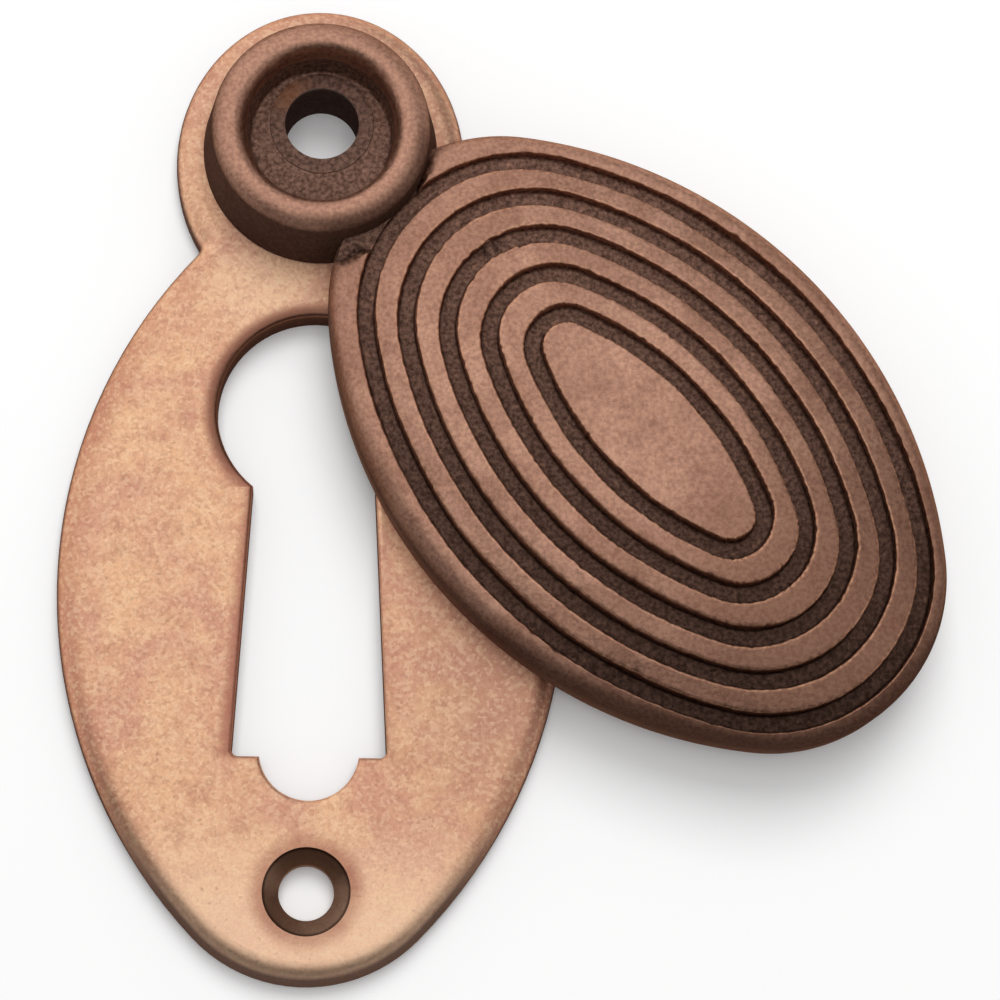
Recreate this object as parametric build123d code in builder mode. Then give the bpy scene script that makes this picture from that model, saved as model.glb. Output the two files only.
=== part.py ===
"""Keyhole escutcheon with a cast cover that swings aside on a hollow rivet.

The plate lies on its back at z = 0 with its front facing +Z, and +Y runs up the plate to its lobe.
The Z axis is the axis of the rivet, on which the cover swings and through which the upper screw goes.
Lengths are in millimetres and angles in degrees.
"""

import os
from math import hypot, sqrt

from build123d import *

# Backplate
plate_length = 60.7  # from the top of the lobe to the foot
plate_width = 30.8
plate_thickness = 2.2
plate_nose_radius = 9.4
plate_edge_radius = 1.4  # rounding of the front edge
plate_oval_top = 3.8  # where the plate's oval would end inside the lobe, below the rivet
lobe_margin = 1.74  # plate showing beside the boss
lobe_stretch = 1.05  # how much further the lobe reaches up and down than sideways
lobe_drop = 1.45  # the hole stands this far above the middle of the lobe
neck_fillet = 0.35

# Keyhole
keyhole_drop = 17.5  # middle of the round top, below the rivet
keyhole_radius = 6.0
slot_top_half_width = 3.45
slot_foot_half_width = 4.65
slot_foot_inset = 13.5  # from the foot of the plate up to the foot of the slot
slot_corner_radius = 0.4
notch_inset = 0.4  # middle of the round notch, above the foot of the slot
notch_radius = 3.0
keyhole_edge_radius = 0.3  # rounding of its front edge

# Lower screw hole
screw_inset = 5.5  # from the foot of the plate
screw_hole_radius = 1.66
screw_sink_radius = 2.63
screw_sink_angle = 90

# Outline and dome of the cover
cover_swing = 45  # how far the cover is swung aside
running_gap = 0.1  # between the cover and the plate
cover_side_margin = 0.66  # plate showing beside the closed cover
cover_foot_margin = 2.67  # plate showing below the closed cover
cover_oval_top = 5.19  # where the cover's oval would end inside the boss, below the rivet
cover_nose_radius = 10.5
rim_height = 4.1  # from the cover's back to the top of its border
rim_radius = 1.3  # rounding of the border
dome_rise = 2.35  # from the border up to the middle

# Grooves of the cover, each of one width all the way round
groove_count = 5
groove_width = 1.12
groove_depth = 0.75  # below the outer edge of each groove
groove_rise = 0.13  # their middle stands above the middle of the plate's oval
groove_lean = -1  # they are cut a little askew
border_width = 1.44  # raised band outside the last groove, at the sides
border_tip_width = 1.6  # and at its tips
border_nose_radius = 10.2  # inner edge of that band
island_half_width = 2.97  # plain field inside the first groove
island_nose_radius = 1.5

# Boss of the cover, from the dish around the rivet outwards; heights are above the cover's back
boss_across = -0.707  # the hole is drilled a little off the middle of the boss
boss_along = -0.636
dish_margin = 0.08  # floor beside the rivet's head where it is narrowest
dish_draft = 0.22
dish_depth = 3.0
dish_lip_width = 0.87  # from the dish's wall to the crest
dish_lip_drop = 1.5
crest_height = 5.5
shoulder_width = 1.25  # from the crest to the outer wall
shoulder_height = 4.5
boss_draft = 0.6
quarter_turn = 90

# Hollow rivet
rivet_bore_radius = 2.27
rivet_wall = 0.6
rivet_head_overhang = 0.3
rivet_head_thickness = 0.45
rivet_head_proud = 0.05  # above the floor of the dish
rivet_tail = 0.45  # height and spread of the flared tail
pivot_clearance = 0.08  # around the rivet and its head
head_clearance = 0.08  # under the head

# Rivet, boss and lobe, each sized from the one inside it
rivet_radius = rivet_bore_radius + rivet_wall
rivet_head_radius = rivet_radius + rivet_head_overhang
dish_floor_radius = rivet_head_radius + pivot_clearance + hypot(boss_across, boss_along) + dish_margin
dish_radius = dish_floor_radius + dish_draft
crest_radius = dish_radius + dish_lip_width
shoulder_radius = crest_radius + shoulder_width
boss_radius = shoulder_radius + boss_draft
lobe_half_width = boss_radius + lobe_margin
lobe_half_length = lobe_half_width + lobe_stretch

# Ovals of the plate and the cover
plate_foot_drop = plate_length - lobe_half_length + lobe_drop
plate_half_width = plate_width / 2
plate_half_length = (plate_foot_drop - plate_oval_top) / 2
oval_drop = plate_foot_drop - plate_half_length
cover_foot_drop = plate_foot_drop - cover_foot_margin
cover_half_width = plate_half_width - cover_side_margin
cover_half_length = (cover_foot_drop - cover_oval_top) / 2
cover_drop = cover_foot_drop - cover_half_length
border_inner = cover_half_width - border_width
border_half_length = cover_half_length - border_tip_width
groove_span = border_inner - groove_width - island_half_width
groove_pitch = groove_span / (groove_count - 1)
nose_growth = (border_nose_radius - groove_width - island_nose_radius) / groove_span

# Heights
cover_base = plate_thickness + running_gap
rim_top = cover_base + rim_height
dome_top = rim_top + dome_rise
dish_floor = cover_base + crest_height - dish_depth
head_top = dish_floor + rivet_head_proud
head_bottom = head_top - rivet_head_thickness


def side_offset(half_width, half_length, end_radius):
    """How far the centres of a pointed oval's side arcs lie beyond its long axis."""
    nose_width = half_width - end_radius
    nose_length = half_length - end_radius
    return (nose_length**2 - nose_width**2) / (2 * nose_width)


def oval_end(half_width, arc_offset, end_radius):
    """End of a pointed oval: where its side arc meets the nose arc (x, y), and its tip (y)."""
    side_radius = half_width + arc_offset
    reach = side_radius - end_radius
    nose_middle = sqrt(reach**2 - arc_offset**2)
    join_x = side_radius * arc_offset / reach - arc_offset
    join_y = side_radius * nose_middle / reach
    return join_x, join_y, nose_middle + end_radius


def pointed_oval(half_width, arc_offset, end_radius):
    """Two long side arcs, joined at both ends by tangent nose arcs."""
    join_x, join_y, tip = oval_end(half_width, arc_offset, end_radius)
    with BuildSketch(mode=Mode.PRIVATE) as outline:
        with BuildLine():
            ThreePointArc((join_x, join_y), (half_width, 0), (join_x, -join_y))
            ThreePointArc((join_x, -join_y), (0, -tip), (-join_x, -join_y))
            ThreePointArc((-join_x, -join_y), (-half_width, 0), (-join_x, join_y))
            ThreePointArc((-join_x, join_y), (0, tip), (join_x, join_y))
        make_face()
    return outline.sketch


def groove_oval(inner, step):
    """Oval a step outside a groove's inner edge, which has that half width."""
    end_radius = island_nose_radius + nose_growth * (inner - island_half_width)
    arc_offset = side_offset(border_inner, border_half_length, border_nose_radius)
    return pointed_oval(inner + step, arc_offset, end_radius + step)


def ring_top(half_width):
    """Height of the cover's dome along the groove edge of that half width."""
    return rim_top + dome_rise * (1 - (half_width / border_inner) ** 2)


# Backplate: oval and lobe with a rounded front edge, pierced by the keyhole and two holes
plate_offset = side_offset(plate_half_width, plate_half_length, plate_nose_radius)
slot_foot_drop = plate_foot_drop - slot_foot_inset

with BuildPart() as backplate:
    with BuildSketch() as plate_outline:
        with Locations((0, -oval_drop)):
            add(pointed_oval(plate_half_width, plate_offset, plate_nose_radius))
        with Locations((0, -lobe_drop)):
            Ellipse(lobe_half_length, lobe_half_width, rotation=quarter_turn)
        below_lobe = plate_outline.vertices().filter_by_position(Axis.Y, -oval_drop, -lobe_drop)
        fillet(below_lobe.sort_by(Axis.Y)[-2:], neck_fillet)
    extrude(amount=plate_thickness)
    fillet(backplate.faces().sort_by(Axis.Z)[-1].edges(), plate_edge_radius)

    with BuildSketch() as keyhole:
        with Locations((0, -keyhole_drop)):
            Circle(keyhole_radius)
        Polygon(
            (slot_top_half_width, -keyhole_drop),
            (slot_foot_half_width, -slot_foot_drop),
            (-slot_foot_half_width, -slot_foot_drop),
            (-slot_top_half_width, -keyhole_drop),
            align=None,
        )
        fillet(keyhole.vertices().group_by(Axis.Y)[0], slot_corner_radius)
        with Locations((0, notch_inset - slot_foot_drop)):
            Circle(notch_radius)
    extrude(amount=plate_thickness, mode=Mode.SUBTRACT)
    front = backplate.faces().filter_by(Axis.Z).sort_by(Axis.Z)[-1]
    fillet(front.inner_wires().edges(), keyhole_edge_radius)

    with Locations((0, screw_inset - plate_foot_drop, plate_thickness)):
        CounterSinkHole(
            radius=screw_hole_radius,
            counter_sink_radius=screw_sink_radius,
            counter_sink_angle=screw_sink_angle,
        )
    Hole(radius=rivet_radius)
    back_edges = backplate.faces().filter_by(Axis.Z).sort_by(Axis.Z)[0].inner_wires().edges()
    chamfer(back_edges.sort_by(Axis.Y)[-1], rivet_tail)

# Swinging cover: domed oval with grooves, and the round boss that it turns on
cover_plane = Plane.XY.rotated((0, 0, cover_swing))
cover_offset = side_offset(cover_half_width, cover_half_length, cover_nose_radius)
groove_middle = Location((0, groove_rise - oval_drop, 0), (0, 0, groove_lean))
groove_inners = [island_half_width + index * groove_pitch for index in range(groove_count)]
boss_middle = cover_plane.from_local_coords((boss_across, boss_along, cover_base))
boss_plane = Plane(boss_middle, x_dir=(1, 0, 0), z_dir=(0, -1, 0))
boss_axis = Axis(boss_middle, (0, 0, 1))

with BuildPart() as swing_cover:
    with BuildSketch(cover_plane.offset(cover_base)):
        with Locations((0, -cover_drop)):
            add(pointed_oval(cover_half_width, cover_offset, cover_nose_radius))
    extrude(amount=rim_height)
    fillet(swing_cover.faces().sort_by(Axis.Z)[-1].edges(), rim_radius)
    for inner in reversed(groove_inners):
        for step in (groove_width, 0):
            with BuildSketch(cover_plane.offset(ring_top(inner + step))):
                with Locations(groove_middle):
                    add(groove_oval(inner, step))
    loft(ruled=True)
    for inner in groove_inners:
        groove_floor = ring_top(inner + groove_width) - groove_depth
        with BuildSketch(cover_plane.offset(groove_floor)):
            with Locations(groove_middle):
                add(groove_oval(inner, groove_width))
                add(groove_oval(inner, 0), mode=Mode.SUBTRACT)
        extrude(amount=dome_top - groove_floor, mode=Mode.SUBTRACT)

    with BuildSketch(boss_plane):
        with BuildLine():
            Polyline((0, crest_height), (0, 0), (boss_radius, 0), (shoulder_radius, shoulder_height))
            EllipticalCenterArc(
                (crest_radius, shoulder_height),
                shoulder_width,
                crest_height - shoulder_height,
                arc_size=quarter_turn,
            )
            Line((crest_radius, crest_height), (0, crest_height))
        make_face()
    revolve(axis=boss_axis)
    with BuildSketch(boss_plane):
        with BuildLine():
            EllipticalCenterArc(
                (crest_radius, crest_height - dish_lip_drop),
                dish_lip_width,
                dish_lip_drop,
                start_angle=quarter_turn,
                arc_size=quarter_turn,
            )
            Polyline(
                (dish_radius, crest_height - dish_lip_drop),
                (dish_floor_radius, crest_height - dish_depth),
                (0, crest_height - dish_depth),
                (0, crest_height),
                (crest_radius, crest_height),
            )
        make_face()
    revolve(axis=boss_axis, mode=Mode.SUBTRACT)
    with Locations((0, 0, dish_floor)):
        CounterBoreHole(
            radius=rivet_radius + pivot_clearance,
            counter_bore_radius=rivet_head_radius + pivot_clearance,
            counter_bore_depth=dish_floor - head_bottom + head_clearance,
        )

# Hollow rivet: head in the boss, tail flared into the back of the plate
with BuildPart() as pivot_rivet:
    with BuildSketch(Plane.XZ):
        with BuildLine():
            Polyline(
                (rivet_bore_radius, 0),
                (rivet_radius + rivet_tail, 0),
                (rivet_radius, rivet_tail),
                (rivet_radius, head_bottom),
                (rivet_head_radius, head_bottom),
                (rivet_head_radius, head_top),
                (rivet_bore_radius, head_top),
                close=True,
            )
        make_face()
    revolve(axis=Axis.Z)

os.makedirs("parts", exist_ok=True)
backplate.part.label = "backplate"
swing_cover.part.label = "swing_cover"
pivot_rivet.part.label = "pivot_rivet"
export_step(backplate.part, "parts/backplate.step")
export_step(swing_cover.part, "parts/swing_cover.step")
export_step(pivot_rivet.part, "parts/pivot_rivet.step")
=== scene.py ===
"""Looks of a keyhole escutcheon: a pale copper plate, a darker grooved cover and the hollow rivet.

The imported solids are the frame. The plate and the rivet keep their solids and get their finish here.
The cover is made again as a finer casting, with worn groove edges and a grainy ground.
Lengths of the pieces are worked out in millimetres and put into the meshes in metres.
Patterns of the finishes, the table, the lamps and the camera are placed in metres.
"""

import math

import bpy
import numpy as np
from mathutils import Matrix, Vector


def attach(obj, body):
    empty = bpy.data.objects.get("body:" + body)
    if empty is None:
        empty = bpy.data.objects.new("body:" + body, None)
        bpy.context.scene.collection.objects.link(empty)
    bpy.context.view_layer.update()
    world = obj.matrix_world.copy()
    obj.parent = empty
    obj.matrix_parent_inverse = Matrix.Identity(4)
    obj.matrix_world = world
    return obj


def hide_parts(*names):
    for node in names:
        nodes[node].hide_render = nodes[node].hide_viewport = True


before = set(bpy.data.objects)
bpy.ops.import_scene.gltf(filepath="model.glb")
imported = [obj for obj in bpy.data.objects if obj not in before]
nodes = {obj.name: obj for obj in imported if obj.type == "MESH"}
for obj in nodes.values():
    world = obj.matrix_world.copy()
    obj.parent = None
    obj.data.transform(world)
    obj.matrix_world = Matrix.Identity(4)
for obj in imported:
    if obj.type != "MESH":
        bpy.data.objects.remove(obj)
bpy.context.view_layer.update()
scene = bpy.context.scene
MM = 0.001
TINY = 1e-9

# Plate: its oval and what is cut through it
PLATE_HALF_WIDTH = 15.4
PLATE_NOSE = 9.4
PLATE_ARC_OFFSET = 15.182
OVAL_DROP = 27.971
KEYHOLE_DROP = 17.5
KEYHOLE_RADIUS = 6.0
SLOT_TOP = -22.3
SLOT_FOOT = -38.642
SLOT_TAPER = 0.0768
SLOT_HALF_AT_ORIGIN = 1.68
SCREW_Y = -46.642
SCREW_SINK = 2.63

# Cover: outline, dome and grooves
SWING = math.radians(45)
COVER_BASE = 2.3
COVER_HALF_WIDTH = 14.73
COVER_HALF_LENGTH = 22.14
COVER_NOSE = 10.49
COVER_ARC_OFFSET = 13.86
COVER_DROP = 27.331
RIM_TOP = 6.4
DOME_RISE = 2.35
BORDER_INNER = 13.30
BORDER_NOSE = 10.2
ISLAND_HALF_WIDTH = 2.97
ISLAND_NOSE = 1.5
GROOVES = 5
GROOVE_WIDTH = 1.12
GROOVE_DEPTH = 0.75
GROOVE_ARC_OFFSET = 15.698
GROOVE_DROP = 27.841
GROOVE_LEAN = math.radians(-1)
SHARP_ANGLE = math.radians(48)

# Corners of the cover's profile by number: the base, the rim, then six for each groove
BASE, RIM, FIRST_GUARD, FIRST_EDGE = range(4)
GROOVE_CORNERS = 6
NO_CORNER = -1

# Boss of the cover, about its own middle
BOSS_ACROSS = -0.707
BOSS_ALONG = -0.636
BOSS_RADIUS = 7.221
SHOULDER_RADIUS = 6.621
SHOULDER_TOP = 6.8
CREST_RADIUS = 5.371
CREST_TOP = 7.8
DISH_RADIUS = 4.501
DISH_LIP = 6.3
DISH_FLOOR_RADIUS = 4.281
DISH_FLOOR = 4.8
BORE_RADIUS = 2.95
SEAT_RADIUS = 3.19
SEAT_FLOOR = 4.32


# Surfaces


def mesh_piece(name, points, faces, tints):
    """A mesh object from points in millimetres, its faces, and a colour of masks at each point."""
    mesh = bpy.data.meshes.new(name)
    mesh.from_pydata((points * MM).tolist(), [], faces)
    masks = mesh.color_attributes.new("casting_marks_and_shade", "FLOAT_COLOR", "CORNER")
    corners = np.empty(len(mesh.loops), np.int32)
    mesh.loops.foreach_get("vertex_index", corners)
    masks.data.foreach_set("color", tints[corners].astype(np.float32).ravel())
    mesh.update()
    piece = bpy.data.objects.new(name, mesh)
    scene.collection.objects.link(piece)
    return piece


def lap_faces(rows, columns, poles):
    """Quads of a grid that closes on itself across its columns, with a fan to a pole at each end."""
    column = np.arange(columns)
    following = np.roll(column, -1)
    row = np.arange(rows - 1)[:, None] * columns
    quads = np.stack([row + column, row + following, row + columns + following, row + columns + column], -1)
    faces = quads.reshape(-1, 4).tolist()
    first = np.stack([following, column, np.full(columns, poles[0])], -1)
    last_row = (rows - 1) * columns
    last = np.stack([last_row + column, last_row + following, np.full(columns, poles[1])], -1)
    return faces + first.tolist() + last.tolist()


def eased_corners(corners, back, ahead, samples):
    """Corners eased one by one: each is a parabola between two points cut back along its sides.

    The parabola of corner P with cut-back points A and B is (1-s)(1-s) A + 2 s (1-s) P + s s B.
    Lengths are those of half width and height; the other columns of a corner go along with them.
    """
    before = np.vstack([corners[:1], corners[:-1]]) - corners
    after = np.vstack([corners[1:], corners[-1:]]) - corners
    before_length = np.maximum(np.linalg.norm(before[:, :2], axis=1), TINY)
    after_length = np.maximum(np.linalg.norm(after[:, :2], axis=1), TINY)
    start = corners + before * (back / before_length)[:, None]
    end = corners + after * (ahead / after_length)[:, None]
    s = np.linspace(0, 1, samples)[None, :, None]
    return (1 - s) ** 2 * start[:, None] + 2 * s * (1 - s) * corners[:, None] + s**2 * end[:, None]


def oval_lap(half_width, nose, arc_offset, lap):
    """Points round pointed ovals: two side arcs centred beyond the long axis, two nose arcs on it.

    Each part of the lap runs over one arc by its normal's angle; the sides take more of the lap.
    """
    side = half_width + arc_offset
    reach = side - nose
    nose_middle = np.sqrt(np.maximum(reach**2 - arc_offset**2, 0))
    turn = np.arctan2(nose_middle, arc_offset)
    side_share = 0.32
    along = np.mod(lap, 0.5)
    on_side = along < side_share
    side_angle = -turn + 2 * turn * along / side_share
    nose_angle = turn + (math.pi - 2 * turn) * (along - side_share) / (0.5 - side_share)
    angle = np.where(on_side, side_angle, nose_angle)
    radius = np.where(on_side, side, nose)
    x = np.where(on_side, -arc_offset, 0.0) + radius * np.cos(angle)
    y = np.where(on_side, 0.0, nose_middle) + radius * np.sin(angle)
    sign = np.where(lap >= 0.5, -1.0, 1.0)
    return sign * x, sign * y


def ripple(lap, seed, low, high, count):
    """A wavering value round a lap: a sum of whole waves with fixed phases, about one unit tall."""
    chance = np.random.default_rng(seed)
    waves = chance.integers(low, high, count)[:, None]
    phases = chance.uniform(0, 2 * math.pi, count)[:, None]
    return np.sin(2 * math.pi * waves * lap[None, :] + phases).sum(0) / math.sqrt(count / 2)


def hump(lap, middle, width):
    """A smooth hump of height one on a lap: e to the minus square of the distance over the width."""
    return np.exp(-(((lap - middle) / width) ** 2))


def ring_top(half_width):
    """Height of the dome at that half width: highest in the middle, falling with its square."""
    return RIM_TOP + DOME_RISE * (1 - (half_width / BORDER_INNER) ** 2)


def groove_corners():
    """Corners of the dome's profile from its base inwards, and what each of them is.

    A corner holds half width, height, nose radius, arc offset, drop and lean of its oval.
    Each groove has six: a guard on the land outside, edge, floor, floor, edge, and a guard inside.
    """
    outline = np.array([COVER_HALF_WIDTH, 0, COVER_NOSE, COVER_ARC_OFFSET, COVER_DROP, 0.0])
    base = outline + [0, COVER_BASE, 0, 0, 0, 0]
    rim = outline + [0, RIM_TOP, 0, 0, 0, 0]
    first_inner = BORDER_INNER - GROOVE_WIDTH
    pitch = (first_inner - ISLAND_HALF_WIDTH) / (GROOVES - 1)
    growth = (BORDER_NOSE - GROOVE_WIDTH - ISLAND_NOSE) / (first_inner - ISLAND_HALF_WIDTH)
    inner = (first_inner - pitch * np.arange(GROOVES))[:, None]
    inner_nose = ISLAND_NOSE + growth * (inner - ISLAND_HALF_WIDTH)
    guard = 0.27
    slope = 0.1
    land_growth = (growth * pitch - GROOVE_WIDTH) / (pitch - GROOVE_WIDTH)
    step = np.array([[GROOVE_WIDTH + guard, GROOVE_WIDTH, GROOVE_WIDTH - slope, slope, 0.0, -guard]])
    on_guard = np.array([[guard, 0, 0, 0, 0, -guard]])
    half_width = inner + step
    nose = inner_nose + step + on_guard * (land_growth - 1)
    floor = ring_top(inner + GROOVE_WIDTH) - GROOVE_DEPTH
    in_groove = np.array([[False, False, True, True, False, False]])
    height = np.where(in_groove, floor, ring_top(half_width))
    same = np.ones_like(half_width)
    grooves = np.stack(
        [half_width, height, nose, same * GROOVE_ARC_OFFSET, same * GROOVE_DROP, same * GROOVE_LEAN], -1
    ).reshape(-1, 6)
    on_border = 0.14 / (COVER_HALF_WIDTH - BORDER_INNER)
    grooves[0] = grooves[1] + on_border * (rim - grooves[1])
    return np.vstack([base, rim, grooves])


def on_corners(base, rim, groove):
    """A value for each corner of the profile: for the base, for the rim, and for the six of a groove."""
    return np.concatenate([[base, rim], np.tile(groove, GROOVES)])


def groove_wear(lap, nick_way, is_floor):
    """How far each corner wavers sideways round the lap, and how high lumps stand on the floors.

    Nicks go into the lands. The third groove is rougher at one place, with a lump of flash in it.
    """
    corners = range(len(nick_way))
    fine = np.stack([ripple(lap, 11 + k, 40, 130, 30) for k in corners])
    slow = np.stack([ripple(lap, 71 + k, 2, 14, 8) for k in corners])
    chips = np.maximum(np.stack([ripple(lap, 131 + k, 16, 90, 30) for k in corners]) - 1.0, 0)
    flash = hump(lap, 0.396, 0.006) + 0.6 * hump(lap, 0.375, 0.012)
    third = np.zeros((len(nick_way), 1))
    third_start = FIRST_GUARD + 2 * GROOVE_CORNERS
    third[third_start : third_start + GROOVE_CORNERS] = 1
    rough_share = 1 + 1.6 * third * hump(lap, 0.376, 0.03)
    way = nick_way[:, None]
    waver = 0.011 * fine * np.abs(way) * rough_share + 0.02 * slow * np.abs(way)
    waver = waver + way * 0.032 * chips * rough_share
    lump = is_floor[:, None] * (0.03 * slow + 0.45 * third * flash)
    return waver, lump


def cover_dome(columns):
    """The grooved dome: a profile of half width and height, carried round a family of pointed ovals.

    The groove edges waver a little and have nicks here and there, where a sum of waves is high.
    """
    corners = groove_corners()
    count = len(corners)
    is_edge = on_corners(0, 0, [0.0, 1, 0, 0, 1, 0])
    is_floor = on_corners(0, 0, [0.0, 0, 1, 1, 0, 0])
    nick_way = on_corners(0, 0, [0.0, 1, 0.6, -0.6, -1, 0])
    groove_ease = [0.0, 0.16, 0.14, 0.14, 0.16, 0.0]
    back = on_corners(0.12, 1.9, groove_ease)
    ahead = on_corners(0.12, 1.22, groove_ease)
    back[FIRST_EDGE] = 0.1
    samples = 9
    eased = eased_corners(corners, back, ahead, samples)

    # Rows kept of each corner: nine at the rim, five at an edge, three at a floor or the base, one at a guard
    kept = np.zeros((count, samples), bool)
    kept[:, samples // 2] = True
    kept[:, ::4] |= (is_floor > 0)[:, None]
    kept[:, ::2] |= (is_edge > 0)[:, None]
    kept[BASE, ::4] = True
    kept[RIM] = True
    corner_of, sample_of = np.nonzero(kept)
    half_width, height, nose, arc_offset, drop, lean = np.split(eased[kept], 6, axis=1)

    # The ovals, each turned by its lean; no lump stands above the island
    lap = np.arange(columns) / columns
    waver, lump = groove_wear(lap, nick_way, is_floor)
    x, y = oval_lap(half_width + waver[corner_of], nose + waver[corner_of], arc_offset, lap[None, :])
    x, y = x * np.cos(lean) - y * np.sin(lean), x * np.sin(lean) + y * np.cos(lean) - drop
    z = np.minimum(height + lump[corner_of], ring_top(ISLAND_HALF_WIDTH) - 0.002)

    # Smaller and smaller rows that close the back and the island
    shrink = np.array([0.8, 0.5, 0.2])[:, None]
    island_x = x[-1:] * shrink
    island_y = (y[-1:] + GROOVE_DROP) * shrink - GROOVE_DROP
    island_z = np.broadcast_to(z[-1:], island_x.shape)
    back_x = x[:1] * shrink[::-1]
    back_y = (y[:1] + COVER_DROP) * shrink[::-1] - COVER_DROP
    back_z = np.full_like(back_x, COVER_BASE)
    x = np.vstack([back_x, x, island_x])
    y = np.vstack([back_y, y, island_y])
    z = np.vstack([back_z, z, island_z])

    # Points that would reach into the dish are moved out, to lie within the boss's wall
    end_radius = 5.5
    from_boss = np.hypot(x - BOSS_ACROSS, y - BOSS_ALONG)
    push = np.maximum(1, end_radius / np.maximum(from_boss, TINY))
    x = BOSS_ACROSS + (x - BOSS_ACROSS) * push
    y = BOSS_ALONG + (y - BOSS_ALONG) * push

    # Beside the boss the border is down at the ground of the first groove, with a ragged end
    middle = np.pad(np.bartlett(samples)[sample_of], len(shrink))[:, None]
    along = np.pad(np.linspace(0, 1, samples)[sample_of], len(shrink))[:, None]
    corner_of = np.pad(corner_of, len(shrink), constant_values=NO_CORNER)[:, None]
    ragged = 7.6 - 0.75 * np.tanh(x / 2) + 0.1 * ripple(lap, 211, 30, 120, 20)
    on_border = np.isin(corner_of, [RIM, FIRST_GUARD, FIRST_EDGE])
    sunk = on_border * np.clip((ragged - from_boss) / 0.45, 0, 1)
    z = z - sunk * np.maximum(z - (RIM_TOP - GROOVE_DEPTH), 0)

    # Grime and painted shade on the wall and rim near the base; most of the painted shade is on the side that
    # faces away from the light while the cover rests
    out_x = x / COVER_HALF_WIDTH**2
    out_y = (y + COVER_DROP) / COVER_HALF_LENGTH**2
    light_side_across, light_side_along = 0.454, 0.891
    away_from_light = -(light_side_across * out_x + light_side_along * out_y) / np.maximum(np.hypot(out_x, out_y), TINY)
    below = np.clip((away_from_light + 0.3) / 1.1, 0, 1) ** 2
    along_rim = np.where(corner_of == RIM, along, 1.0)
    on_rim = np.clip(0.8 + 0.8 * below - (1.15 - 0.4 * below) * along_rim, 0, 0.95)
    rim_grime_and_shade = np.isin(corner_of, [RIM, FIRST_GUARD]) * on_rim + 0.65 * (corner_of == BASE)
    in_floor = np.where(corner_of == NO_CORNER, 0, is_floor[corner_of])
    on_edge = np.where(corner_of == NO_CORNER, 0, is_edge[corner_of]) * middle
    # Masks: groove ground, worn edges, and grime with painted shade, darker at the foot of the groove walls
    # and on the wall and rim near the base
    marks = [
        np.maximum(in_floor, sunk),
        on_edge * (1 - sunk),
        in_floor * middle * 0.4 + rim_grime_and_shade * (1 - sunk),
        np.zeros_like(x),
    ]
    rows = len(x)
    points = np.stack([x, y, z], -1).reshape(-1, 3)
    tints = np.stack([np.broadcast_to(mark, x.shape) for mark in marks], -1).reshape(-1, 4)
    poles = np.array([[0, -COVER_DROP, COVER_BASE], [0, -GROOVE_DROP, z[-1, 0]]])
    points = np.vstack([points, poles])
    tints = np.vstack([tints, np.zeros((2, 4))])
    faces = lap_faces(rows, columns, (rows * columns, rows * columns + 1))
    return points, faces, tints


def turned(profile, marks, middle, columns):
    """A turned form: a profile of radius and height carried round an upright axis, closed at both ends."""
    turn = 2 * math.pi * np.arange(columns) / columns
    x = middle[0] + profile[:, :1] * np.cos(turn)
    y = middle[1] + profile[:, :1] * np.sin(turn)
    z = np.broadcast_to(profile[:, 1:], x.shape)
    points = np.stack([x, y, z], -1).reshape(-1, 3)
    ends = np.array([[middle[0], middle[1], profile[0, 1]], [middle[0], middle[1], profile[-1, 1]]])
    tints = np.vstack([np.repeat(marks, columns, axis=0), marks[:1], marks[-1:]])
    rows = len(profile)
    faces = lap_faces(rows, columns, (rows * columns, rows * columns + 1))
    return np.vstack([points, ends]), faces, tints


def quarter(centre, across, up, first, last, samples):
    """Part of an upright ellipse round that centre, between two angles in degrees."""
    angle = np.radians(np.linspace(first, last, samples))
    return np.stack([centre[0] + across * np.cos(angle), centre[1] + up * np.sin(angle)], 1)


def cover_boss(columns):
    """The boss: wall with a little draft, elliptic shoulder to the crest, elliptic lip and the dish.

    Grime and painted shade lie on its wall, and painted shade on its shoulder where it meets the dome; it is
    darker in the dish.
    """
    wall = np.array(
        [[BOSS_RADIUS * 0.5, COVER_BASE], [BOSS_RADIUS, COVER_BASE], [7.021, 3.8], [6.821, 5.3], [6.688, 6.3]]
    )
    shoulder = quarter(
        (CREST_RADIUS, SHOULDER_TOP), SHOULDER_RADIUS - CREST_RADIUS, CREST_TOP - SHOULDER_TOP, 0, 90, 13
    )
    lip = quarter((CREST_RADIUS, DISH_LIP), CREST_RADIUS - DISH_RADIUS, CREST_TOP - DISH_LIP, 90, 180, 9)
    foot = quarter((DISH_FLOOR_RADIUS - 0.2, DISH_FLOOR + 0.2), 0.22, 0.2, 0, -90, 5)
    dish = np.vstack([[[4.4, 5.6]], foot, [[3.7, DISH_FLOOR], [1.0, DISH_FLOOR]]])
    profile = np.vstack([wall, shoulder, lip[1:], dish])
    radius, height = profile[:, 0], profile[:, 1]
    row = np.arange(len(profile))
    outside = row < len(wall) + len(shoulder)
    inside = row >= len(wall) + len(shoulder) + len(lip) - 2
    crest = np.clip(1.2 - np.abs(radius - CREST_RADIUS) / 1.1, 0, 1) * (height > 6.4)
    # Grime and painted shade on the outer wall; darker in the dish
    wall_grime_and_shade = outside * np.clip((7.72 - height) / 0.8, 0, 1)
    dish_darkening = inside * 0.3
    marks = np.stack([inside * 0.7, np.zeros(len(profile)), wall_grime_and_shade + dish_darkening, crest], 1)
    points, faces, tints = turned(profile, marks, (BOSS_ACROSS, BOSS_ALONG), columns)
    # Painted shade on the shoulder where the boss meets the dome
    reach = np.hypot(points[:, 0] - BOSS_ACROSS, points[:, 1] - BOSS_ALONG)
    towards_dome = (BOSS_ALONG - points[:, 1]) / np.maximum(reach, TINY)
    junction_shade = np.clip((towards_dome - 0.5) / 0.3, 0, 1) * np.clip((reach - 5.6) / 0.6, 0, 1)
    tints[:, 2] = np.maximum(tints[:, 2], 0.85 * junction_shade)
    return points, faces, tints


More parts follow.
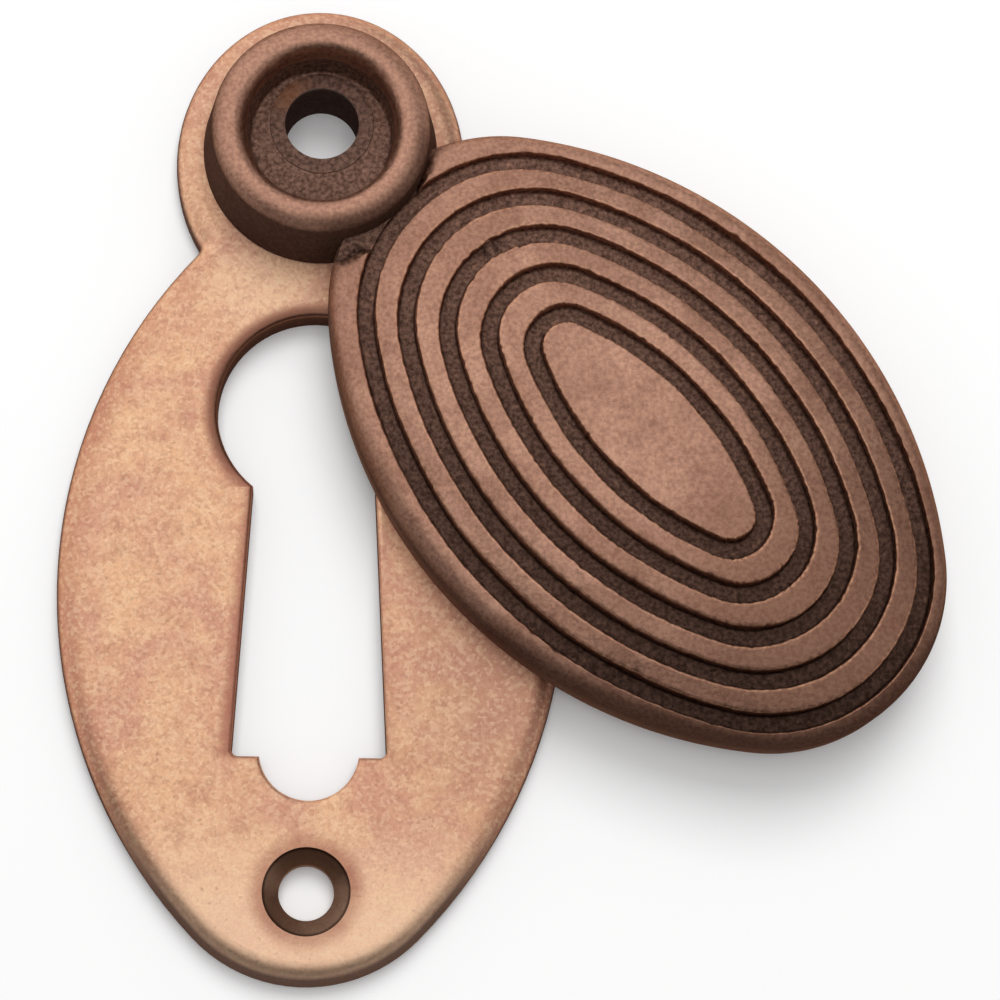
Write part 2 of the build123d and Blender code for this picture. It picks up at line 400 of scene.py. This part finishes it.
def cover_bore(columns):
    """What is drilled out of the boss for the rivet: a bore and the seat of the rivet's head."""
    low = COVER_BASE - 0.5
    high = DISH_FLOOR + 0.6
    radius = np.array([1.0, BORE_RADIUS, BORE_RADIUS, SEAT_RADIUS, SEAT_RADIUS, 1.0])
    height = np.array([low, low, SEAT_FLOOR, SEAT_FLOOR, high, high])
    marks = np.tile([1.0, 0, 1, 0], (len(radius), 1))
    return turned(np.stack([radius, height], 1), marks, (0, 0), columns)


def join_forms(target, other, operation):
    """Unites or cuts two closed forms and keeps the result in the first; the second one goes."""
    modifier = target.modifiers.new("joined", "BOOLEAN")
    modifier.operation = operation
    modifier.solver = "EXACT"
    modifier.object = other
    bpy.context.view_layer.update()
    graph = bpy.context.evaluated_depsgraph_get()
    made = target.evaluated_get(graph)
    mesh = bpy.data.meshes.new_from_object(made, preserve_all_data_layers=True, depsgraph=graph)
    target.modifiers.clear()
    target.data = mesh
    bpy.data.objects.remove(other)


cover = mesh_piece("cover_casting", *cover_dome(columns=760))
join_forms(cover, mesh_piece("boss_form", *cover_boss(columns=192)), "UNION")
join_forms(cover, mesh_piece("bore_form", *cover_bore(columns=128)), "DIFFERENCE")
cover.data.transform(Matrix.Rotation(SWING, 4, "Z"))
cover.data.shade_smooth()
cover.data.set_sharp_from_angle(angle=SHARP_ANGLE)
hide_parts("swing_cover")
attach(cover, "cover")


# Finishes

WHITE = (1.0, 1.0, 1.0, 1.0)


def tone(red, green, blue):
    """A colour written as it looks on a screen, 0 to 255, as linear light."""
    part = np.array([red, green, blue]) / 255
    light = np.where(part <= 0.04045, part / 12.92, ((part + 0.055) / 1.055) ** 2.4)
    return (*light.tolist(), 1.0)


def add_node(tree, kind, inputs=None, **settings):
    """A node with its settings; each input is a value or the output that feeds it."""
    node = tree.nodes.new(kind)
    for name, value in settings.items():
        setattr(node, name, value)
    for key, value in (inputs or {}).items():
        if isinstance(value, bpy.types.NodeSocket):
            tree.links.new(value, node.inputs[key])
        else:
            node.inputs[key].default_value = value
    return node


def calc(tree, operation, *values, clamp=False):
    """One sum of values or outputs."""
    inputs = dict(enumerate(values))
    return add_node(tree, "ShaderNodeMath", inputs, operation=operation, use_clamp=clamp).outputs[0]


def fade(tree, value, low, high):
    """Goes smoothly from 0 at low to 1 at high; low may be the larger one."""
    inputs = {"Value": value, "From Min": low, "From Max": high}
    return add_node(tree, "ShaderNodeMapRange", inputs, interpolation_type="SMOOTHSTEP").outputs["Result"]


def blend_tone(tree, share, first, second, way="MIX"):
    """Two colours mixed by a share."""
    inputs = {0: share, 6: first, 7: second}
    return add_node(tree, "ShaderNodeMix", inputs, data_type="RGBA", blend_type=way).outputs[2]


def times(tree, *shares):
    """Several shares multiplied."""
    product = shares[0]
    for share in shares[1:]:
        product = calc(tree, "MULTIPLY", product, share)
    return product


def noise(tree, place, size, detail=3.0, rough=0.55, warp=0.0):
    """Cloudy noise whose lumps are about that size, in metres."""
    scale = calc(tree, "DIVIDE", 1.0, size)
    inputs = {"Vector": place, "Scale": scale, "Detail": detail, "Roughness": rough, "Distortion": warp}
    return add_node(tree, "ShaderNodeTexNoise", inputs).outputs["Fac"]


def sand_grains(tree, place, size):
    """A chance value, 0 to 1, for each grain of about that size, in metres."""
    inputs = {"Vector": place, "Scale": 1 / size}
    grains = add_node(tree, "ShaderNodeTexVoronoi", inputs).outputs["Color"]
    return add_node(tree, "ShaderNodeSeparateColor", {"Color": grains}).outputs[0]


def new_group(name, inputs, outputs):
    """An empty node group with named sockets; an input is a name and its first value, or a vector."""
    group = bpy.data.node_groups.new(name, "ShaderNodeTree")
    for label, value in inputs.items():
        kind = "NodeSocketVector" if value is None else "NodeSocketFloat"
        socket = group.interface.new_socket(name=label, in_out="INPUT", socket_type=kind)
        if value is not None:
            socket.default_value = value
    for label in outputs:
        group.interface.new_socket(name=label, in_out="OUTPUT", socket_type="NodeSocketFloat")
    taken = group.nodes.new("NodeGroupInput").outputs
    given = group.nodes.new("NodeGroupOutput").inputs
    return group, taken, given


def make_copper_clouds():
    """Colour of old copper: broad clouds, smaller stains and a fine light and dark speckle."""
    group, taken, given = new_group(
        "copper clouds",
        {"Place": None, "Cloud Size": 0.006, "Stain Size": 0.002, "Speckle Size": 0.0003},
        ["Cloud", "Stain", "Speckle", "Pits"],
    )
    cloud = noise(group, taken["Place"], taken["Cloud Size"], 4.0, 0.6, 0.6)
    stain = noise(group, taken["Place"], taken["Stain Size"], 5.0, 0.65, 0.4)
    speckle = noise(group, taken["Place"], taken["Speckle Size"], 2.0, 0.6)
    pits = noise(group, taken["Place"], calc(group, "MULTIPLY", taken["Speckle Size"], 2.3), 1.0, 0.5)
    group.links.new(fade(group, cloud, 0.36, 0.64), given["Cloud"])
    group.links.new(fade(group, stain, 0.5, 0.72), given["Stain"])
    group.links.new(fade(group, speckle, 0.25, 0.75), given["Speckle"])
    group.links.new(fade(group, pits, 0.66, 0.76), given["Pits"])
    return group


def make_cast_grain():
    """Height of a cast and blasted skin: coarse lumps and a finer grain."""
    group, taken, given = new_group(
        "cast grain",
        {"Place": None, "Grain Size": 0.0003, "Lump Size": 0.0012, "Lump Share": 0.4},
        ["Height"],
    )
    grain = noise(group, taken["Place"], taken["Grain Size"], 3.0, 0.65)
    lump = noise(group, taken["Place"], taken["Lump Size"], 2.0, 0.5)
    height = calc(group, "MULTIPLY_ADD", lump, taken["Lump Share"], grain)
    group.links.new(height, given["Height"])
    return group


copper_clouds = make_copper_clouds()
cast_grain = make_cast_grain()


def new_material(name):
    """A material with its shader, and the place on the piece that its patterns read."""
    material = bpy.data.materials.new(name)
    material.use_nodes = True
    tree = material.node_tree
    shader = tree.nodes["Principled BSDF"]
    place = add_node(tree, "ShaderNodeTexCoord").outputs["Object"]
    return material, tree, shader, place


def split_place(tree, place):
    """The parts of a place: across, along and up."""
    split = add_node(tree, "ShaderNodeSeparateXYZ", {"Vector": place}).outputs
    return split["X"], split["Y"], split["Z"]


def use_group(tree, group, **inputs):
    """Places a node group with its own values."""
    named = {name.replace("_", " "): value for name, value in inputs.items()}
    return add_node(tree, "ShaderNodeGroup", named, node_tree=group).outputs


def bump(tree, height, strength, depth):
    """A bump from a height, in metres of depth."""
    inputs = {"Height": height, "Strength": strength, "Distance": depth}
    return add_node(tree, "ShaderNodeBump", inputs).outputs["Normal"]


def join_shader(tree, shader, colour, rough, metal, normal, glancing=WHITE):
    """Joins the parts of a copper finish to its shader; what isn't metal in it has no gloss."""
    tree.links.new(colour, shader.inputs["Base Color"])
    tree.links.new(rough, shader.inputs["Roughness"])
    tree.links.new(metal, shader.inputs["Metallic"])
    tree.links.new(normal, shader.inputs["Normal"])
    shader.inputs["Specular IOR Level"].default_value = 0.0
    shader.inputs["Specular Tint"].default_value = glancing


def make_matt(shader):
    """Takes all gloss from a shader."""
    shader.inputs["Roughness"].default_value = 1.0
    shader.inputs["Specular IOR Level"].default_value = 0.0


def speckled(tree, colour, speckle, low, high):
    """A colour made darker and redder, or lighter, in fine specks, between two shares of itself."""
    shade = calc(tree, "MULTIPLY_ADD", speckle, high - low, low)
    warm = calc(tree, "MULTIPLY_ADD", speckle, high - low - 0.07, low + 0.07)
    tint = add_node(tree, "ShaderNodeCombineColor", {0: warm, 1: shade, 2: shade}).outputs[0]
    return blend_tone(tree, 1.0, colour, tint, "MULTIPLY")


def distance_to(tree, x, y, px, py):
    """Distance in the plane of the plate from a point, in metres."""
    across = calc(tree, "SUBTRACT", x, px * MM)
    along = calc(tree, "SUBTRACT", y, py * MM)
    squares = calc(tree, "MULTIPLY_ADD", along, along, calc(tree, "MULTIPLY", across, across))
    return calc(tree, "SQRT", squares)


def plate_inset(tree, x, y):
    """Distance in from the oval's outline: from its two side arcs, or from the nose at its foot."""
    beside = calc(tree, "ADD", calc(tree, "ABSOLUTE", x), PLATE_ARC_OFFSET * MM)
    beyond = calc(tree, "ADD", y, OVAL_DROP * MM)
    squares = calc(tree, "MULTIPLY_ADD", beside, beside, calc(tree, "MULTIPLY", beyond, beyond))
    side_radius = PLATE_HALF_WIDTH + PLATE_ARC_OFFSET
    from_side = calc(tree, "SUBTRACT", side_radius * MM, calc(tree, "SQRT", squares))
    nose_reach = math.sqrt((side_radius - PLATE_NOSE) ** 2 - PLATE_ARC_OFFSET**2)
    from_nose = calc(tree, "SUBTRACT", PLATE_NOSE * MM, distance_to(tree, x, y, 0, -OVAL_DROP - nose_reach))
    side_limit = calc(tree, "MULTIPLY", beside, -nose_reach / PLATE_ARC_OFFSET)
    below_nose = calc(tree, "LESS_THAN", beyond, side_limit)
    return add_node(tree, "ShaderNodeMix", {0: below_nose, 2: from_side, 3: from_nose}).outputs[0]


def keyhole_distance(tree, x, y):
    """Distance out from the keyhole's edge: from its round top, or from the sides of its slot."""
    round_edge = calc(tree, "SUBTRACT", distance_to(tree, x, y, 0, -KEYHOLE_DROP), KEYHOLE_RADIUS * MM)
    slot_half = calc(tree, "MULTIPLY_ADD", y, -SLOT_TAPER, SLOT_HALF_AT_ORIGIN * MM)
    slot_edge = calc(tree, "SUBTRACT", calc(tree, "ABSOLUTE", x), slot_half)
    in_slot = calc(tree, "LESS_THAN", y, SLOT_TOP * MM)
    return add_node(tree, "ShaderNodeMix", {0: in_slot, 2: round_edge, 3: slot_edge}).outputs[0]


def plate_finish():
    """Pale copper with tan and pink clouds, redder at its lower edges and dark in the screw hole; walls dark
    from patina and painted shade, painted shade on its lower edges, at the keyhole's top and beside the
    resting cover, and painted highlights on the neck and the foot.
    """
    material, tree, shader, place = new_material("pale copper")
    x, y, z = split_place(tree, place)
    marks = use_group(
        tree, copper_clouds, Place=place, Cloud_Size=0.0058, Stain_Size=0.0021, Speckle_Size=0.00016
    )

    colour = blend_tone(tree, marks["Cloud"], tone(240, 193, 153), tone(220, 166, 140))
    colour = blend_tone(tree, times(tree, marks["Stain"], 0.6), colour, tone(194, 138, 114))
    mottle = noise(tree, place, 0.0011, 6.0, 0.78)
    colour = blend_tone(tree, times(tree, fade(tree, mottle, 0.5, 0.68), 0.5), colour, tone(253, 216, 174))
    colour = blend_tone(tree, times(tree, fade(tree, mottle, 0.48, 0.32), 0.5), colour, tone(200, 144, 120))

    # Painted highlight: paler on the neck
    neck = times(tree, fade(tree, distance_to(tree, x, y, -3.2, -9.6), 0.0048, 0.001), 0.5)
    colour = blend_tone(tree, neck, colour, tone(255, 218, 184))

    # Pinker on the lobe
    colour = blend_tone(tree, times(tree, fade(tree, y, -0.011, -0.004), 0.45), colour, tone(200, 152, 130))

    # Redder and darker beside the outer edge, below the neck: reddish colour, and painted shade on the
    # rounded lower edge
    wander = calc(tree, "MULTIPLY_ADD", marks["Stain"], 0.0011, plate_inset(tree, x, y))
    lower = times(tree, fade(tree, y, -0.008, -0.016), fade(tree, y, -0.051, -0.045))
    red_edge_and_shade = times(tree, fade(tree, wander, 0.0022, 0.0006), lower, 0.55)
    colour = blend_tone(tree, red_edge_and_shade, colour, tone(186, 124, 100))

    # Painted shade of the resting cover, between the slot and the cover
    cover_shade_beside_slot = times(tree, fade(tree, x, 0.003, 0.010), fade(tree, y, -0.0455, -0.036), 0.55)
    colour = blend_tone(tree, cover_shade_beside_slot, colour, tone(186, 140, 118))

    # Sandy skin of pale and reddish grains
    sand = sand_grains(tree, place, 0.00021)
    colour = blend_tone(tree, times(tree, fade(tree, sand, 0.45, 1.0), 0.3), colour, tone(255, 226, 188))
    colour = blend_tone(tree, times(tree, fade(tree, sand, 0.45, 0.0), 0.28), colour, tone(186, 130, 108))

    # Painted highlight: paler at the foot
    colour = blend_tone(tree, times(tree, fade(tree, y, -0.041, -0.049), 0.68), colour, tone(255, 219, 185))

    # Keyhole edge: reddish beside the round top and the slot, more on the left, partly painted shade of the
    # rounded edge; and painted shade in dark brown along the round top
    past_foot = fade(tree, y, (SLOT_FOOT - 0.5) * MM, (SLOT_FOOT + 0.3) * MM)
    left = calc(tree, "MULTIPLY_ADD", fade(tree, x, 0.001, -0.001), 0.65, 0.15)
    from_keyhole = keyhole_distance(tree, x, y)
    near_keyhole = fade(tree, from_keyhole, 0.0012, 0.0003)
    colour = blend_tone(tree, times(tree, near_keyhole, left, past_foot), colour, tone(172, 112, 94))
    # Painted shade along the keyhole's round top
    round_top_shade = times(tree, fade(tree, from_keyhole, 0.0010, 0.0001), fade(tree, y, -0.0235, -0.0195), 0.8)
    colour = blend_tone(tree, round_top_shade, colour, tone(112, 78, 62))

    # Screw hole: a reddish halo, a thin dark line at the rim, and the olive-brown cone
    from_screw = distance_to(tree, x, y, 0, SCREW_Y)
    patchy = calc(tree, "MULTIPLY_ADD", marks["Cloud"], 0.3, 0.5)
    halo = times(tree, fade(tree, from_screw, 0.0039, 0.0027), patchy)
    colour = blend_tone(tree, halo, colour, tone(168, 106, 86))
    cone = fade(tree, from_screw, (SCREW_SINK + 0.02) * MM, (SCREW_SINK - 0.03) * MM)
    in_cone = blend_tone(tree, marks["Cloud"], tone(156, 128, 108), tone(136, 108, 90))
    line = fade(tree, from_screw, (SCREW_SINK - 0.22) * MM, (SCREW_SINK - 0.05) * MM)
    in_cone = blend_tone(tree, times(tree, line, 0.75), in_cone, tone(48, 34, 28))
    colour = blend_tone(tree, cone, colour, in_cone)

    # Walls below the front edge are dark from patina and painted shade; the keyhole's wall is painted shade
    away = fade(tree, from_screw, 0.0026, 0.0030)
    foot_wall_shade = times(tree, fade(tree, z, 0.00214, 0.00165), fade(tree, y, -0.036, -0.048))
    low = times(tree, calc(tree, "MAXIMUM", fade(tree, z, 0.0017, 0.0011), foot_wall_shade), away, 0.9)
    colour = blend_tone(tree, low, colour, tone(66, 46, 45))
    keyhole_wall = times(tree, fade(tree, z, 0.00216, 0.0018), fade(tree, from_keyhole, 0.0005, 0.0003))
    keyhole_wall_shade = times(tree, keyhole_wall, past_foot, 0.85)
    colour = blend_tone(tree, keyhole_wall_shade, colour, tone(84, 58, 48))
    dull = calc(tree, "MAXIMUM", low, keyhole_wall_shade)

    colour = speckled(tree, colour, marks["Speckle"], 0.88, 1.12)
    colour = blend_tone(tree, times(tree, marks["Pits"], 0.3), colour, tone(156, 106, 84))
    rough = calc(tree, "MULTIPLY_ADD", marks["Speckle"], 0.12, 0.38)
    metal = calc(tree, "MULTIPLY_ADD", dull, -0.9, 1.0)
    grain = use_group(tree, cast_grain, Place=place, Grain_Size=0.0003, Lump_Size=0.0015, Lump_Share=0.25)
    normal = bump(tree, grain["Height"], 0.2, 0.00006)
    join_shader(tree, shader, colour, rough, metal, normal, tone(200, 168, 148))
    return material


def cover_finish():
    """Brown copper, worn peach on the edges, with a dark grainy ground in the grooves, upper grooves lighter
    by painted light, and walls dark from grime and painted shade.
    """
    material, tree, shader, place = new_material("brown copper")
    x, y, _ = split_place(tree, place)
    marks = use_group(
        tree, copper_clouds, Place=place, Cloud_Size=0.006, Stain_Size=0.0016, Speckle_Size=0.00025
    )
    cast = add_node(tree, "ShaderNodeAttribute", attribute_name="casting_marks_and_shade")
    channels = add_node(tree, "ShaderNodeSeparateColor", {"Color": cast.outputs["Color"]}).outputs
    groove, worn, dark_grime_and_shade = channels[0], channels[1], channels[2]
    crest = cast.outputs["Alpha"]

    colour = blend_tone(tree, marks["Cloud"], tone(197, 153, 130), tone(172, 130, 109))

    # Darker beside the boss and at the far end; the far end's darkening is partly painted shade
    from_pivot = times(tree, calc(tree, "SUBTRACT", x, y), math.sqrt(0.5))
    beside_boss = times(tree, fade(tree, from_pivot, 0.017, 0.008), 0.4)
    colour = blend_tone(tree, beside_boss, colour, tone(162, 120, 100))
    # Partly painted shade at the far end
    far_end = times(tree, fade(tree, from_pivot, 0.028, 0.044), 0.8)
    colour = blend_tone(tree, far_end, colour, tone(134, 99, 82))

    # Stains, and wear on the boss's crest and the groove edges
    colour = blend_tone(tree, times(tree, marks["Stain"], 0.45), colour, tone(146, 104, 86))
    colour = blend_tone(tree, times(tree, crest, 0.75), colour, tone(192, 148, 126))
    worn_share = times(tree, worn, calc(tree, "MULTIPLY_ADD", marks["Speckle"], 0.55, 0.2))
    colour = blend_tone(tree, worn_share, colour, tone(216, 164, 130))

    # Ground of the grooves, lighter in the upper ones by painted light, and grime with painted shade
    ground = blend_tone(tree, marks["Speckle"], tone(82, 62, 53), tone(124, 96, 83))
    ground = blend_tone(tree, times(tree, marks["Pits"], 0.5), ground, tone(160, 122, 102))
    # Painted light: the ground is lighter towards the top
    lighter = calc(tree, "MULTIPLY_ADD", y, 32.0, 1.7)
    lighter = add_node(tree, "ShaderNodeCombineColor", {0: lighter, 1: lighter, 2: lighter}).outputs[0]
    ground = blend_tone(tree, 1.0, ground, lighter, "MULTIPLY")
    colour = blend_tone(tree, fade(tree, groove, 0.15, 0.75), colour, ground)
    # Grime and painted shade: darker at the foot of the groove walls and on the walls and rim
    colour = blend_tone(tree, times(tree, dark_grime_and_shade, 0.9), colour, tone(61, 41, 33))
    colour = speckled(tree, colour, marks["Speckle"], 0.72, 1.28)

    rough = calc(tree, "MULTIPLY_ADD", groove, 0.14, calc(tree, "MULTIPLY_ADD", marks["Speckle"], 0.12, 0.4))
    metal = calc(tree, "MULTIPLY_ADD", dark_grime_and_shade, -0.95, 1.0, clamp=True)
    grain = use_group(tree, cast_grain, Place=place, Grain_Size=0.00026, Lump_Size=0.001, Lump_Share=0.6)
    rougher = calc(tree, "MULTIPLY_ADD", fade(tree, from_pivot, 0.014, 0.044), 1.1, 0.6)
    deep = calc(tree, "MULTIPLY_ADD", groove, rougher, 0.6)
    normal = bump(tree, calc(tree, "MULTIPLY", grain["Height"], deep), 0.55, 0.00008)
    join_shader(tree, shader, colour, rough, metal, normal, tone(190, 160, 142))
    return material


def rivet_finish():
    """Dark brown copper with an orange stain on the head, dull in the bore."""
    material, tree, shader, place = new_material("dark copper")
    x, y, z = split_place(tree, place)
    marks = use_group(
        tree, copper_clouds, Place=place, Cloud_Size=0.003, Stain_Size=0.001, Speckle_Size=0.0003
    )
    colour = blend_tone(tree, marks["Speckle"], tone(82, 63, 55), tone(130, 100, 87))
    stain = times(tree, fade(tree, distance_to(tree, x, y, -2.1, 1.9), 0.0018, 0.0003), 0.4)
    colour = blend_tone(tree, stain, colour, tone(150, 98, 62))
    deep = fade(tree, z, 0.00475, 0.0044)
    colour = blend_tone(tree, deep, colour, tone(84, 66, 60))
    colour = speckled(tree, colour, marks["Speckle"], 0.8, 1.2)
    rough = calc(tree, "MULTIPLY_ADD", deep, 0.3, calc(tree, "MULTIPLY_ADD", marks["Speckle"], 0.15, 0.42))
    metal = calc(tree, "SUBTRACT", 1.0, deep)
    grain = use_group(tree, cast_grain, Place=place, Grain_Size=0.0003, Lump_Size=0.001, Lump_Share=0.5)
    join_shader(tree, shader, colour, rough, metal, bump(tree, grain["Height"], 0.4, 0.00008))
    return material


def dress(piece, material):
    """Gives a piece one material for all its faces."""
    piece.data.materials.clear()
    piece.data.materials.append(material)


dress(nodes["backplate"], plate_finish())
dress(nodes["pivot_rivet"], rivet_finish())
dress(cover, cover_finish())


# Table, light and camera


def flat_card(name, corners, faces):
    """A sheet of flat faces, its corners in metres."""
    mesh = bpy.data.meshes.new(name)
    mesh.from_pydata(corners, [], faces)
    card = bpy.data.objects.new(name, mesh)
    scene.collection.objects.link(card)
    return card


def seen_directly(tree):
    """One for rays from the camera, mirrors and glass, nothing for light that falls on surfaces."""
    rays = add_node(tree, "ShaderNodeLightPath").outputs
    mirrored = calc(tree, "MAXIMUM", rays["Is Glossy Ray"], rays["Is Transmission Ray"])
    return calc(tree, "MAXIMUM", rays["Is Camera Ray"], mirrored)


def table_top():
    """White table: it takes the shadows, and is lifted a little towards white where it is seen."""
    side = 3.0
    corners = [(-side, -side, 0), (side, -side, 0), (side, side, 0), (-side, side, 0)]
    table = flat_card("table", corners, [(0, 1, 2, 3)])
    material, tree, shader, _ = new_material("white table")
    make_matt(shader)
    shader.inputs["Base Color"].default_value = (0.96, 0.96, 0.96, 1)
    shader.inputs["Emission Color"].default_value = WHITE
    lift = calc(tree, "MULTIPLY", seen_directly(tree), 0.065)
    tree.links.new(lift, shader.inputs["Emission Strength"])
    table.data.materials.append(material)


def mirrored_card(name, foot, lean, height, level):
    """A folded card that stands on its foot line and leans in; only the metal mirrors it.

    It has that level at its foot and is paler to the top.
    """
    foot = np.array(foot)
    low = np.column_stack([foot, np.zeros(len(foot))])
    high = np.column_stack([foot * lean, np.full(len(foot), height)])
    first = np.arange(len(foot) - 1)
    folds = np.stack([first, first + 1, first + 1 + len(foot), first + len(foot)], 1)
    card = flat_card(name, np.vstack([low, high]).tolist(), folds.tolist())
    material, tree, shader, place = new_material(name.replace("_", " "))
    make_matt(shader)
    _, _, rise = split_place(tree, place)
    upper = fade(tree, rise, height * 0.45, height)
    pale = blend_tone(tree, upper, (level, level, level, 1), (0.8, 0.8, 0.8, 1))
    tree.links.new(pale, shader.inputs["Base Color"])
    card.data.materials.append(material)
    card.visible_camera = False
    card.visible_diffuse = False
    card.visible_shadow = False
    card.visible_transmission = False


def room_light():
    """White all round where it is seen or mirrored, and a softer level as light."""
    world = bpy.data.worlds.new("white room")
    world.use_nodes = True
    tree = world.node_tree
    tree.nodes.clear()
    plain = add_node(tree, "ShaderNodeBackground", {"Color": WHITE, "Strength": 0.36})
    seen = add_node(tree, "ShaderNodeBackground", {"Color": WHITE, "Strength": 1.0})
    mix = add_node(
        tree, "ShaderNodeMixShader", {0: seen_directly(tree), 1: plain.outputs[0], 2: seen.outputs[0]}
    )
    add_node(tree, "ShaderNodeOutputWorld", {"Surface": mix.outputs[0]})
    scene.world = world


def soft_lamp(name, place, aim, size, power):
    """A square soft lamp that faces a point; the metal doesn't mirror it."""
    light = bpy.data.lights.new(name, "AREA")
    light.shape = "SQUARE"
    light.size = size
    light.energy = power
    lamp = bpy.data.objects.new(name, light)
    facing = (Vector(aim) - Vector(place)).to_track_quat("-Z", "Y").to_matrix().to_4x4()
    lamp.matrix_world = Matrix.Translation(place) @ facing
    lamp.visible_glossy = False
    scene.collection.objects.link(lamp)


def photo_camera():
    """The camera, from its place, the point it looks at and a slight roll."""
    place = Vector((-0.00028, -0.0606, 0.1850))
    aim = Vector((0.01142, -0.02233, 0.0))
    roll = math.radians(0.45)
    ahead = (aim - place).normalized()
    level = Vector((-math.sin(roll), math.cos(roll), 0))
    up = (level - ahead * level.dot(ahead)).normalized()
    right = ahead.cross(up)
    data = bpy.data.cameras.new("camera")
    data.sensor_width = 36.0
    data.lens = 110.66
    data.clip_start = 0.01
    camera = bpy.data.objects.new("camera", data)
    turn = Matrix((right, up, -ahead)).transposed()
    camera.matrix_world = Matrix.Translation(place) @ turn.to_4x4()
    scene.collection.objects.link(camera)
    scene.camera = camera


table_top()
dark_foot = [(-0.34, -0.12), (-0.2, -0.28), (0.1, -0.32), (0.5, -0.3)]
mirrored_card("dark_card", dark_foot, lean=0.45, height=0.34, level=0.02)
grey_foot = [(0.45, -0.1), (0.1, 0.45)]
mirrored_card("grey_card", grey_foot, lean=0.75, height=0.42, level=0.45)
room_light()
soft_lamp("top_lamp", place=(0.03, 0.21, 0.38), aim=(0.01, -0.025, 0), size=0.26, power=1.06)
soft_lamp("over_lamp", place=(0, -0.03, 0.5), aim=(0, -0.03, 0), size=0.24, power=0.55)
photo_camera()
scene.view_settings.view_transform = "Standard"
